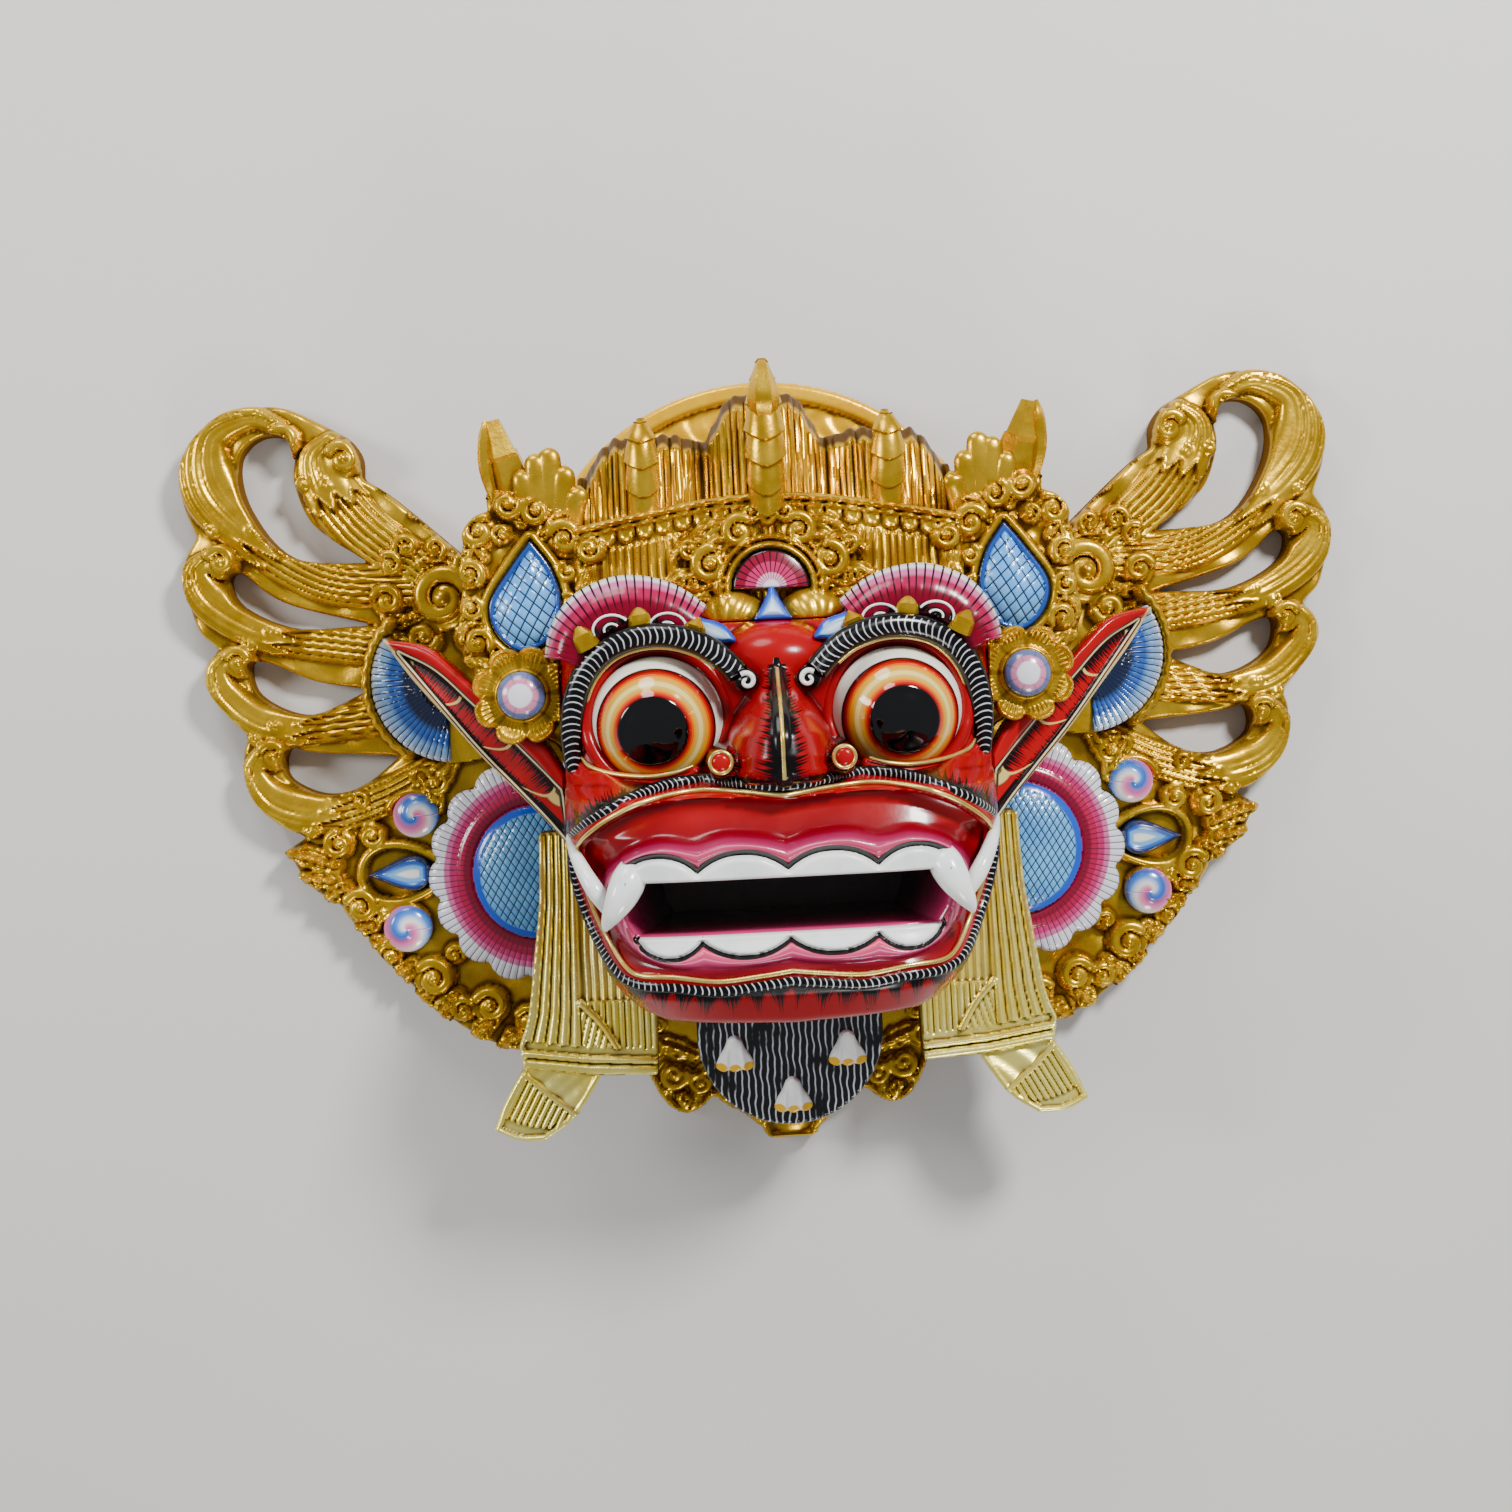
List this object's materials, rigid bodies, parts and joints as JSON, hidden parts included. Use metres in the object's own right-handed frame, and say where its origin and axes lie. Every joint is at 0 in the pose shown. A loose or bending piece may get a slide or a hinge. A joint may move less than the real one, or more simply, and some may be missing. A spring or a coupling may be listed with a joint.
{
  "type": "barong mask",
  "caption": "Carved and painted wooden barong wall mask with gilt crown, feather wings, pointed ears, bulging eyes and an open fanged mouth.",
  "frame": {"origin": "centre of the mask's outline, on the flat back that it lies on", "axes": "+X across the face to the viewer's right, +Y up the face towards the crown, +Z out of the face"},
  "size_m": [0.4906, 0.3252, 0.1571],
  "materials": {
    "red_lacquer": "glossy red lacquer over carved wood",
    "gilding": "gold paint over carved wood, metallic, brown in the recesses",
    "black_lacquer": "glossy black lacquer with white brush lines",
    "ivory_lacquer": "glossy off-white lacquer",
    "blue_lacquer": "satin sky-blue paint with dark lattice lines",
    "pink_lacquer": "satin pink and crimson paint"
  },
  "bodies": {
    "root": {"head": "red_lacquer", "crown": "gilding", "halo": "gilding", "wing_left": "gilding", "wing_right": "gilding", "ear_left": "red_lacquer", "ear_right": "red_lacquer", "flower_left": "gilding", "flower_right": "gilding", "ribbon_left": "gilding", "ribbon_right": "gilding", "beard": "black_lacquer", "chin_ornament": "gilding"}
  },
  "joints": []
}
